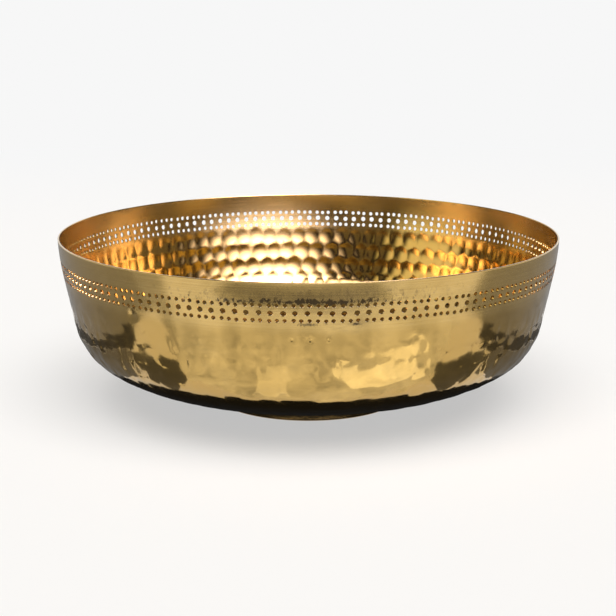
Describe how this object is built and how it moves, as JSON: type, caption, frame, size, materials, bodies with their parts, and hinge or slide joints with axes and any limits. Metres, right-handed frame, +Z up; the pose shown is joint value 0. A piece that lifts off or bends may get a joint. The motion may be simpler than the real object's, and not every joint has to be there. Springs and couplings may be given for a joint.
{
  "type": "hammered bowl",
  "caption": "Wide round hammered sheet-metal bowl with a band of punched holes under a plain rim, standing on a low brazed foot ring.",
  "frame": {"origin": "on the table, under the middle of the bowl: the centre of the foot ring's lower edge", "axes": "+Z up along the bowl's axis of symmetry; X and Y level, the bowl looks the same from every side"},
  "size_m": [0.3, 0.3, 0.102],
  "materials": {
    "sheet_brass": "polished and hammered, lightly lacquered",
    "strip_brass": "polished outside, scoured inside",
    "braze": "filed filler metal, slightly paler than the sheet"
  },
  "bodies": {
    "root": {"bowl_shell": "sheet_brass", "foot_ring": "strip_brass", "braze_seam": "braze"}
  },
  "joints": []
}
